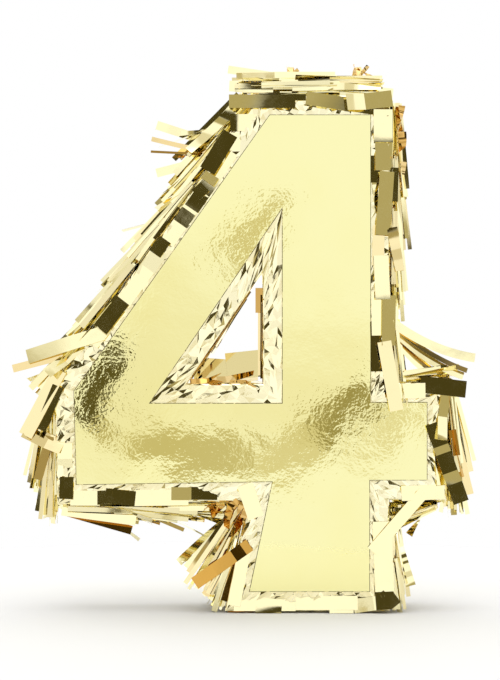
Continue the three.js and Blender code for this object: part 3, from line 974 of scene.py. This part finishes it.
def wall_ribbons(film, rng):
    """Ribbons that hang along a wall, seen nearly edge-on from the front."""
    wall = film.wall
    order = rng.permutation(WALL_COUNT)
    for k in range(WALL_COUNT):
        share = (order[k] + 0.5) / WALL_COUNT
        y = depth(k + 0.5 + rng.uniform(-0.3, 0.3), WALL_COUNT)
        stray = rng.uniform() < STRAY_SHARE
        amber = rng.uniform() < PAINTED_AMBER_SHARE
        pile = FULL_PILE if film.full_at_root else PILE
        lift = film.slope * (0.1 + 0.8 * share ** 1.3) * (1.6 if stray else 1.0)
        length = film.ending(film.reach * rng.uniform(0.8, 1.05))
        if wall.name == "top":  # stacked flat
            pile = TOP_PILE
            lift = rng.normal(1.5, 1.5)
        root = wall.place(film.start + rng.uniform(0, 8 * MM), (0.8 + pile * share) * MM, y)
        film.ribbon(
            root, spatial(wall.run), spatial(wall.out), rng.uniform(*WALL_WIDTHS) * MM,
            length, heading=rng.normal(0, 2), lift=lift,
            roll=rng.choice((-1, 1)) * rng.uniform(4, 50 if stray else 24),
            bend=rng.normal(0, 3), tip=rng.normal(0, 6),
            twist=rng.normal(0, 50 if stray else 12), droop=0.03,
            creases=random_creases(rng, 0.2, 12), bow=rng.normal(0, 0.006),
            # A few ribbons get strong painted amber; the rest get a faint painted warm tint.
            painted_amber=rng.uniform(0.5, 1.0) if amber else 0.15 * rng.uniform())


BAND_COUNT = 10
BAND_WIDTHS = (3.0, 6.5)
BAND_TONES = {GOLD: 0.26, LIGHT: 0.44, WHITE: 0.14, OLIVE: 0.08, DARK: 0.08}
BAND_RISE, FULL_BAND_RISE = 6.0, 18.0  # how far apart their roots lie, in mm


def band_strips(film, rng):
    """Narrow ribbons along a wall that have turned to face the front."""
    for k in range(BAND_COUNT):
        share = (k + rng.uniform()) / BAND_COUNT
        rise = 4.0 + (FULL_BAND_RISE if film.full_at_root else BAND_RISE) * share
        tone = rng.choice(list(BAND_TONES), p=list(BAND_TONES.values()))
        length = film.ending(film.reach * rng.uniform(0.7, 1.0))
        slope = 0.0 if film.wall.name == "top" else film.slope * (0.1 + 0.8 * share)
        placed_ribbon(film, film.start + rng.uniform(0, 12) * MM, rise * MM,
                      rng.uniform(*BAND_WIDTHS) * MM, length, slope + rng.normal(0, 1.5),
                      tone, -rng.uniform(1, 24), bend=rng.normal(0, 1),
                      twist=rng.normal(0, 3), painted_amber=0.3 * rng.uniform() ** 2)


INNER_COUNT = 7
INNER_WIDTHS = (10, 14)


def inner_ribbons(film, rng):
    """Ribbons pressed along a wall of the hole."""
    wall = film.wall
    for k in range(INNER_COUNT):
        y = depth(k + 0.5, INNER_COUNT)
        root = wall.place(film.start + rng.uniform(0, 8 * MM), 1.2 * MM, y)
        film.ribbon(root, spatial(wall.run), spatial(wall.out),
                    rng.uniform(*INNER_WIDTHS) * MM, film.reach * rng.uniform(0.8, 1.0),
                    lift=rng.uniform(0.0, 0.5) * film.slope, roll=rng.normal(0, 10),
                    tip=rng.normal(0, 5), twist=rng.normal(0, 10),
                    painted_amber=rng.uniform(0.1, 0.6))


def random_creases(rng, chance, spread):
    return [(rng.uniform(0.3, 0.9), rng.normal(0, spread))] if rng.uniform() < chance else []


BORDER_WIDTHS = (13.5, 17)
BORDER_INSET = (8.5, 10.5)  # from the box's edge to the ribbon's middle, in mm
BORDER_LONGEST = 80 * MM
BORDER_STAND = 2.4 * MM
BORDER_TONES = {LIGHT: 0.55, DARK: 0.2, GOLD: 0.1, OLIVE: 0.15}


def border_ribbon(film, side, rng):
    """One wide ribbon laid along the front (side -1) or the back (side 1) border."""
    wall = film.wall
    width = rng.uniform(*BORDER_WIDTHS) * MM
    along = film.start - rng.uniform(0, 5) * MM
    inward = rng.uniform(*BORDER_INSET) * MM
    root = wall.place(along, -inward, side * (Y_BACK + BORDER_STAND))
    tone = rng.choice(list(BORDER_TONES), p=list(BORDER_TONES.values()))
    outward = spatial(wall.out)
    lean = lean_for(tone, root, outward) if side < 0 else math.radians(tone / 3)
    face = FRONTWARD * -side * math.cos(lean) + outward * math.sin(lean)
    film.ribbon(root, spatial(wall.run), face, width, min(film.reach * 0.88, BORDER_LONGEST),
                heading=rng.normal(0, 2.5), bend=rng.normal(2, 2), tip=rng.normal(1, 4),
                twist=rng.normal(0, 4), creases=random_creases(rng, 0.6, 9),
                painted_amber=rng.uniform(0, 0.15), keep_out=False)


# ---------- the hanging loop

LOOP_WIDTH = 6 * MM
LOOP_THICKNESS = 0.7 * MM
LOOP_PARTS = 5  # short steps between two points of the route
LOOP_LEGS = (0.040, 0.113)
LOOP_ROUTE = [
    (0.04, 0.0, 0.5119),
    (0.04, 0.0, 0.528),
    (0.0405, 0.001, 0.54),
    (0.041, 0.006, 0.549),
    (0.042, 0.015, 0.554),
    (0.043, 0.027, 0.553),
    (0.044, 0.038, 0.547),
    (0.045, 0.046, 0.537),
    (0.0455, 0.05, 0.523),
    (0.046, 0.0505, 0.507),
    (0.046, 0.0505, 0.49),
    (0.048, 0.0505, 0.474),
    (0.054, 0.0505, 0.461),
    (0.065, 0.0505, 0.4535),
    (0.0765, 0.0505, 0.4515),
]


def smooth_line(points, parts):
    """A Catmull-Rom line through points, with parts short steps between each two."""
    points = [np.array(p, float) for p in points]
    padded = [2 * points[0] - points[1], *points, 2 * points[-1] - points[-2]]
    line = []
    for a, b, c, d in zip(padded, padded[1:], padded[2:], padded[3:]):
        for k in range(parts):
            t = k / parts
            line.append(0.5 * (2 * b + (c - a) * t + (2 * a - 5 * b + 4 * c - d) * t ** 2
                               + (3 * b - a - 3 * c + d) * t ** 3))
    return np.array([*line, points[-1]])


def make_loop():
    mirrored = [(sum(LOOP_LEGS) - x, y, z) for x, y, z in reversed(LOOP_ROUTE[:-1])]
    line = smooth_line([*LOOP_ROUTE, *mirrored], LOOP_PARTS)
    ahead = np.gradient(line, axis=0)
    vertices, faces = [], []
    half, thin = LOOP_WIDTH / 2, LOOP_THICKNESS / 2
    section = [(-half, -thin), (-half * 0.3, -thin * 0.6), (half * 0.3, -thin * 0.6),
               (half, -thin), (half, thin), (half * 0.3, thin * 1.4),
               (-half * 0.3, thin * 1.4), (-half, thin)]
    wide = len(section)
    across = np.array([1.0, 0.0, 0.0])
    for i, (point, forward) in enumerate(zip(line, ahead)):
        forward = unit(forward)
        across = unit(across - forward * (across @ forward))
        face = np.cross(forward, across)
        vertices += [point + across * a + face * b for a, b in section]
        if i:
            base = (i - 1) * wide
            faces += [(base + k, base + (k + 1) % wide, base + wide + (k + 1) % wide,
                       base + wide + k) for k in range(wide)]
    last = len(vertices) - wide
    faces += [tuple(reversed(range(wide))), tuple(range(last, last + wide))]
    piece = link_mesh("loop_ribbon", vertices, faces, RIBBON)
    piece.data.set_sharp_from_angle(angle=math.radians(50))
    stand_in(piece, "box", "gold_ribbon", "hanging_loop")


# ---------- studio

FLOOR_RADIUS = 0.62
FLOOR_SIDES = 96
STUDIO_LEVEL = 1.2
SHADE_TINT = (1.0, 0.80, 0.18)  # what the dim parts of the room add to the foil's gold
SHADE_RISE = 0.6  # how soon they do
# Zones of the studio as the foil sees it, in degrees: azimuth and elevation of the centre
# (azimuth 0 is behind the photo camera), half size along and across, the turn of the long
# side, the softness of the rim as a share of the half size, and the brightness there.
STUDIO_FRAME = [
    (0, 0, 40, 40, 0, 0.06, 1.25),  # a bright screen round the camera
    (0, 0, 8.4, 9.4, 0, 0.12, 1.03),  # with an open middle
    (0, 28, 31.5, 3.5, 0, 0.3, 0.50),  # boom over the camera
    (0, 20, 24.5, 4.5, 0, 0.25, 0.07),
    (0, -20, 15.5, 4.5, 0, 0.25, 0.07),  # table edge
    (0, -28, 18, 3.5, 0, 0.3, 0.50),
    (0, 51, 40, 6, 0, 0.1, 0.88),  # ceiling
    (0, 90, 200, 28, 0, 0.1, 2.6),  # softbox overhead
]
# On the right, and mirrored on the left.
STUDIO_SIDES = [
    (28, 6.8, 3.5, 24.8, 0, 0.3, 0.50),  # gap beside a softbox
    (20, 4.5, 4.5, 20, 0, 0.25, 0.07),
    (51, 6, 6, 30, 0, 0.1, 0.88),
    (78, 0, 3, 50, 0, 0.15, 0.20),  # light stands
    (92, 0, 4, 50, 0, 0.15, 0.12),
    (106, 0, 6, 50, 0, 0.15, 1.7),
    (158, 0, 6, 24, 0, 0.1, 1.7),  # softboxes behind
    (167, 0, 2.5, 20, 0, 0.2, 0.25),
]
# Stands and people near the camera, placed so that the card mirrors the photo's patches.
STUDIO_PEOPLE = [
    (-3.4, -1.3, 3.2, 1.5, 55, 0.8, 0.92),  # haze that dims the panel's middle
    (0.9, -1.5, 2.6, 1.6, 0, 0.8, 0.94),
    (-4.65, -1.15, 1.25, 0.56, 62, 0.06, 0.11),
    (-4.4, -2.7, 0.7, 0.3, 70, 0.1, 0.55),
    (-1.8, -3.4, 1.8, 0.75, -5, 0.1, 0.62),
    (2.3, -2.6, 1.7, 0.7, 40, 0.1, 0.68),
    (3.1, -2.0, 1.0, 0.62, 40, 0.1, 0.36),
    (1.2, -3.5, 1.2, 0.5, 20, 0.1, 0.75),
    (4.4, -2.6, 0.9, 0.4, 50, 0.1, 0.82),
    (0.06, 3.2, 1.2, 0.38, 54, 0.1, 0.70),
]


def studio_zones():
    mirrored = [(-az, el, long, wide, -turn, soft, brightness)
                for az, el, long, wide, turn, soft, brightness in STUDIO_SIDES]
    return STUDIO_FRAME + STUDIO_SIDES + mirrored + STUDIO_PEOPLE


def studio_colour(brightness):
    """A dim zone is warmer than a bright one."""
    shade = max(0.0, 1.0 - brightness) ** SHADE_RISE
    return (*[brightness * (1 - shade * (1 - tint)) for tint in SHADE_TINT], 1.0)


def zone_mask(tree, azimuth, elevation, zone):
    """How far a direction lies in a zone: 1 inside, 0 outside."""
    az, el, long, wide, turn, soft = zone
    c, s = math.cos(math.radians(turn)), math.sin(math.radians(turn))
    u = du = math_node(tree, "SUBTRACT", azimuth, az)
    v = dv = math_node(tree, "SUBTRACT", elevation, el)
    if turn:
        u = math_node(tree, "ADD", math_node(tree, "MULTIPLY", du, c),
                      math_node(tree, "MULTIPLY", dv, s))
        v = math_node(tree, "SUBTRACT", math_node(tree, "MULTIPLY", dv, c),
                      math_node(tree, "MULTIPLY", du, s))
    u = math_node(tree, "ABSOLUTE", math_node(tree, "DIVIDE", u, long))
    v = math_node(tree, "ABSOLUTE", math_node(tree, "DIVIDE", v, wide))
    outward = math_node(tree, "MAXIMUM", u, v)
    return map_range(tree, outward, 1 - soft, 1 + soft, 1.0, 0.0)


def studio_light(tree):
    """The studio's colour in each direction, zone over zone."""
    split = add(tree, "SeparateXYZ")
    join(tree, add(tree, "TexCoord").outputs["Generated"], split.inputs[0])
    x, y, z = split.outputs
    toward = math_node(tree, "MULTIPLY", y, -1.0)
    azimuth = math_node(tree, "ARCTAN2", x, toward)
    azimuth = math_node(tree, "MULTIPLY", azimuth, 180 / math.pi)
    elevation = math_node(tree, "MULTIPLY", math_node(tree, "ARCSINE", z), 180 / math.pi)
    light = None
    for *zone, brightness in studio_zones():
        mix = add(tree, "Mix", data_type="RGBA")
        join(tree, zone_mask(tree, azimuth, elevation, zone), mix.inputs["Factor"])
        if light is None:
            mix.inputs["A"].default_value = (*[STUDIO_LEVEL] * 3, 1.0)
        else:
            join(tree, light, mix.inputs["A"])
        mix.inputs["B"].default_value = studio_colour(brightness)
        light = mix.outputs["Result"]
    return light


def make_world():
    """The studio for the foil to mirror, and plain white where the camera sees past it."""
    world = bpy.data.worlds.new("studio")
    bpy.context.scene.world = world
    world.use_nodes = True
    tree = world.node_tree
    tree.nodes.clear()
    lit = add(tree, "Background", Strength=1.0)
    join(tree, studio_light(tree), lit.inputs["Color"])
    seen = add(tree, "Background", Color=(1.0, 1.0, 1.0, 1.0), Strength=1.0)
    path = add(tree, "LightPath")
    choose = add(tree, "MixShader")
    join(tree, path.outputs["Is Camera Ray"], choose.inputs[0])
    join(tree, lit.outputs[0], choose.inputs[1])
    join(tree, seen.outputs[0], choose.inputs[2])
    output = add(tree, "OutputWorld")
    join(tree, choose.outputs[0], output.inputs["Surface"])


def make_floor():
    material, _, shader, _ = new_material("pale_floor", Roughness=0.9)
    shader.inputs["Base Color"].default_value = FLOOR_GREY
    shader.inputs["Specular IOR Level"].default_value = 0.1
    turns = np.linspace(0, 2 * math.pi, FLOOR_SIDES + 1)[:-1]
    rim = [(FLOOR_RADIUS * math.cos(t), FLOOR_RADIUS * math.sin(t), 0) for t in turns]
    floor = link_mesh("floor", rim, [tuple(range(len(rim)))], material, smooth=False)


# ---------- build

def dress_cad_nodes():
    for name, node in NODES.items():
        slot = node.data.materials
        slot.clear()
        if name == "flap_sticker":
            slot.append(SEAL)
        elif name.startswith("loop_knot"):
            slot.append(RIBBON)
        else:
            slot.append(CARDBOARD)


make_camera()
make_loop()
make_world()
make_floor()
dress_cad_nodes()
swollen_copy("numeral_card_front", "card_front", -1, "box")
swollen_copy("numeral_card_back", "card_back", 1, "box")
swollen_copy("fill_flap_card", "card_flap", 1, "flap")
foil_wrap("foil_wrap_outer", BOX, 1, ["border_foil_front", "border_foil_back"], 11)
foil_wrap("foil_wrap_hole", BOX_HOLE, -1, ["hole_foil_front", "hole_foil_back"], 12)
for wall_number, wall in enumerate(WALLS):
    for row_number, node in enumerate(wall.rows):
        fringe_row(wall, node, 100 * wall_number + row_number)

scene = bpy.context.scene
scene.cycles.glossy_bounces = 7
scene.view_settings.view_transform = "Standard"
